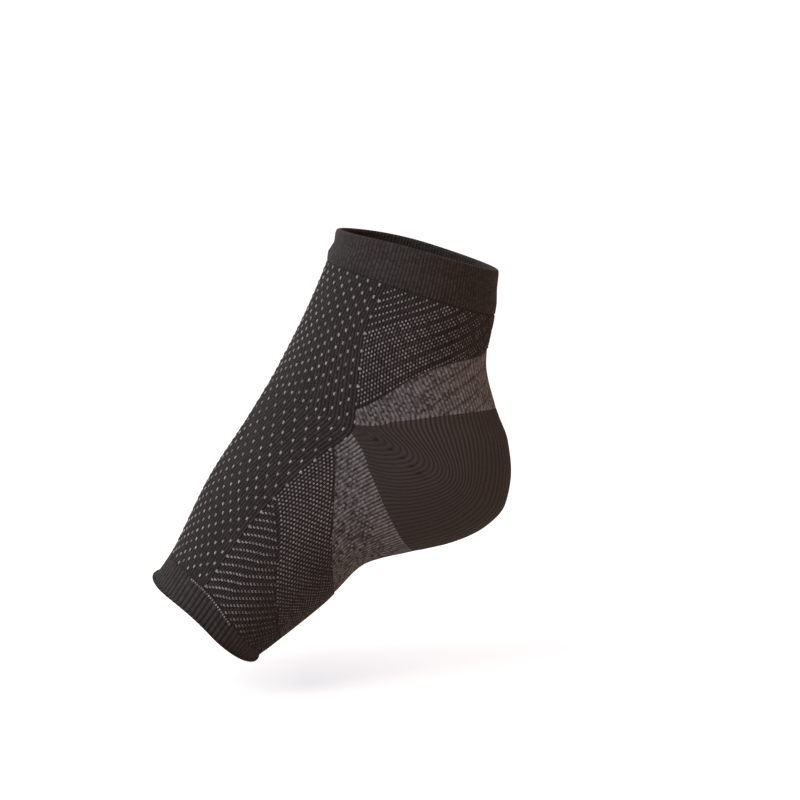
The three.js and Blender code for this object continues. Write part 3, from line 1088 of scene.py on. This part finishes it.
class SLEEVE_OT_dotted_panels(Operator):
    """Knit the Achilles, arch and forefoot zones with their light stitches"""

    bl_idname = "sleeve.dotted_panels"
    bl_label = "Dotted Panels"

    def execute(self, context):
        settings = context.scene.sleeve
        sizes = settings.sizes
        finish = ground_knit("dotted_ground_knit", settings.yarns.ground)
        light = light_yarn("dotted_zone_yarn", settings.yarns.light)
        for node, top, foot, rows, seed, chart, stitch, fade, cord in (
            ("achilles_panel", "ankle_cuff", "upper_band", 22, 22, achilles_chart,
             Stitch(0.0009, 0.00085, 0.0006), Fade(0.1, 0.85, 0.92, 0.3), 0.0),
            ("arch_panel", "lower_band", "arch_foot", 24, 24, arch_chart,
             Stitch(0.00095, 0.0009, 0.0006), Fade(0.22, 0.5, 0.76, 0.4), 0.0),
            ("forefoot_rib_panel", "arch_foot", "toe_cuff", 52, 52, rib_chart,
             Stitch(0.0016, 0.00075, 0.0006), Fade(0.1, 0.42, 0.84, 0.28), 0.00025),
        ):
            def relief(spots):
                folded = np.minimum(spots.wale, BACK_WALES - spots.wale)
                turn = 2 * math.pi * (rib_rise(folded) + spots.course - 0.5) / RIB_COURSES
                ground = ground_relief(sizes, wale_ridge(spots.wale), spots.down, courses=30)
                return ground + cord * (0.5 * np.cos(turn) - 0.5)

            panel, laid = lay_panel(node + "_knit", place_zone(top, foot), relief, BACK_WALES, rows)
            give_wall(panel, sizes.wall, laid.raised)
            places, light_share = zone_stitches(top, foot, chart)
            # partly painted shade: the light stitches dim towards the back line
            shade = shade_of(places, fade, seed) * light_share
            stitches = lay_stitches(node + "_light", light, places, stitch, shade)
            finish_panel(panel, node, finish)
        return {"FINISHED"}


class SLEEVE_OT_grey_bands(Operator):
    """Knit the mottled grey bands above and below the heel"""

    bl_idname = "sleeve.grey_bands"
    bl_label = "Grey Bands"

    def execute(self, context):
        settings = context.scene.sleeve
        sizes, yarns = settings.sizes, settings.yarns
        for node, top, foot, heel, bar_wales, bars, lean, crease_shade_depth, painted_back_light in (
            ("upper_heel_band", "upper_band", "heel_top", "heel_top",
             HEEL_WALES, UPPER_BARS, UPPER_LEAN, 0.7, 0.3),
            ("lower_heel_band", "heel_foot", "lower_band", "heel_foot",
             BAND_WALES, LOWER_BARS, 0.0, 0.0, 0.0),
        ):
            def bar_wale(spots):
                return bar_wales / 2 * side_share(spots.around)

            def heel_edge(spots):
                return np.clip(1 - np.abs(spots.course) / bars, 0, 1)

            def leant(spots):
                return leaning_wale(spots.wale, spots.course, lean)

            def relief(spots):
                edge = heel_edge(spots)
                ridge = wale_ridge(leant(spots)) * (1 - edge) + wale_ridge(bar_wale(spots)) * edge
                return ground_relief(sizes, ridge, spots.down, courses=20)

            place = place_band(top, foot, heel)
            panel, laid = lay_panel(node + "_knit", place, relief, BAND_WALES, rows=18)
            lay_knit_map(panel, leant(laid.spots), laid.spots.course)
            lay_value(panel, "heel_edge", heel_edge(laid.spots))
            lay_value(panel, "bar_wale", bar_wale(laid.spots))
            give_wall(panel, sizes.wall, laid.raised)
            finish = mottled_knit(node + "_grey", yarns.mottle, yarns.ground, crease_shade_depth, painted_back_light)
            finish_panel(panel, node, finish)
        return {"FINISHED"}


class SLEEVE_OT_heel_pocket(Operator):
    """Knit the plain turned heel with its gore"""

    bl_idname = "sleeve.heel_pocket"
    bl_label = "Heel Pocket"

    def execute(self, context):
        settings = context.scene.sleeve
        sizes = settings.sizes

        def relief(spots):
            ground = ground_relief(sizes, wale_ridge(spots.wale), spots.down, HEEL_COURSES)
            return ground - HOLE_DEPTH * gore_holes(spots)

        panel, laid = lay_panel("heel_pocket_knit", place_heel, relief, HEEL_WALES, rows=76)
        across = np.interp(side_share(laid.spots.around), *CLEAR_ACROSS)
        down = np.interp(laid.spots.station, *CLEAR_DOWN)
        lay_value(panel, "clear", across * down)
        # painted shade in the gore holes
        lay_value(panel, "tone", 1 - HOLE_SHADE * gore_holes(laid.spots))
        give_wall(panel, sizes.wall, laid.raised)
        finish = heel_knit("plain_heel_knit", settings.yarns.heel)
        finish_panel(panel, "heel_pocket", finish)
        return {"FINISHED"}


class SLEEVE_OT_stage(Operator):
    """Set the pale floor, the soft light and the camera"""

    bl_idname = "sleeve.stage"
    bl_label = "Stage"

    def execute(self, context):
        stage = context.scene.sleeve.stage
        floor_z = CAD_BOX[0][2] - stage.floor_drop
        bpy.ops.object.select_all(action="DESELECT")
        bpy.ops.mesh.primitive_plane_add(size=40, location=(0, 0, 0))
        floor = context.object
        floor.name = "pale_floor"
        bpy.ops.object.mode_set(mode="EDIT")
        bpy.ops.mesh.subdivide(number_cuts=3)
        bpy.ops.transform.translate(value=(0, 0, floor_z))
        bpy.ops.object.mode_set(mode="OBJECT")
        floor.data.materials.append(floor_finish(stage.floor_colour))

        world = bpy.data.worlds.new("studio_surround")
        world.use_nodes = True
        wire = Wiring(world.node_tree)
        to_right = wire.split(wire.node("ShaderNodeTexCoord").outputs["Generated"])[0]
        cool_side = (1, 0.98, 1, 1)
        tone = wire.mix(wire.spread(to_right, low=-0.5, high=0.7), cool_side, (*stage.warm_side, 1))
        seen = wire.node("ShaderNodeLightPath").outputs["Is Camera Ray"]
        surround = world.node_tree.nodes["Background"]
        backdrop = (1.1, 1.1, 1.1, 1)
        wire.feed(surround.inputs["Color"], wire.mix(seen, tone, backdrop))
        surround.inputs["Strength"].default_value = stage.surround
        context.scene.world = world
        context.scene.view_settings.view_transform = "Standard"

        for name, place, size, power, colour in (
            ("key_softbox", (-0.9, -0.7, 1.0), 0.9, 14.0, (1.0, 0.98, 1.0)),
            ("warm_kicker", (0.6, -0.35, -0.04), 0.4, 1.1, (1.0, 0.46, 0.16)),
        ):
            bpy.ops.object.light_add(type="AREA", location=place)
            lamp = context.object
            lamp.name = name
            lamp.data.size = size
            lamp.data.energy = power
            lamp.data.color = colour
            towards = -np.array(place)
            tip = math.acos(-towards[2] / np.linalg.norm(towards))
            lamp.rotation_euler = (tip, 0, math.atan2(towards[1], towards[0]) - math.pi / 2)

        tilt = stage.elevation
        place = (0, -stage.distance * math.cos(tilt), stage.distance * math.sin(tilt))
        bpy.ops.object.camera_add(location=place, rotation=(math.pi / 2 - tilt, 0, 0))
        camera = context.object
        camera.data.lens = stage.lens
        camera.data.sensor_width = 36
        camera.data.clip_start = 0.05
        context.scene.camera = camera
        return {"FINISHED"}


PIECE_OPERATORS = (
    SLEEVE_OT_cuffs,
    SLEEVE_OT_instep_panel,
    SLEEVE_OT_dotted_panels,
    SLEEVE_OT_grey_bands,
    SLEEVE_OT_heel_pocket,
    SLEEVE_OT_stage,
)


class SLEEVE_PT_panel(Panel):
    """Sidebar list of the sleeve's sizes, yarns and pieces"""

    bl_idname = "SLEEVE_PT_panel"
    bl_label = "Knitted Ankle Sleeve"
    bl_space_type = "VIEW_3D"
    bl_region_type = "UI"
    bl_category = "Sleeve"

    def draw(self, context):
        settings = context.scene.sleeve
        groups = {"Sizes": settings.sizes, "Yarns": settings.yarns, "Stage": settings.stage}
        for title, group in groups.items():
            box = self.layout.box()
            box.label(text=title)
            for name in group.__annotations__:
                box.prop(group, name)
        for operator in PIECE_OPERATORS:
            self.layout.operator(operator.bl_idname)


CLASSES = (SleeveSizes, YarnColours, StageSettings, SleeveSettings, *PIECE_OPERATORS, SLEEVE_PT_panel)


def register():
    for cls in CLASSES:
        bpy.utils.register_class(cls)
    bpy.types.Scene.sleeve = PointerProperty(type=SleeveSettings)


def unregister():
    del bpy.types.Scene.sleeve
    for cls in reversed(CLASSES):
        bpy.utils.unregister_class(cls)


def main():
    register()
    bpy.ops.sleeve.cuffs()
    bpy.ops.sleeve.instep_panel()
    bpy.ops.sleeve.dotted_panels()
    bpy.ops.sleeve.grey_bands()
    bpy.ops.sleeve.heel_pocket()
    bpy.ops.sleeve.stage()


if __name__ == "__main__":
    main()
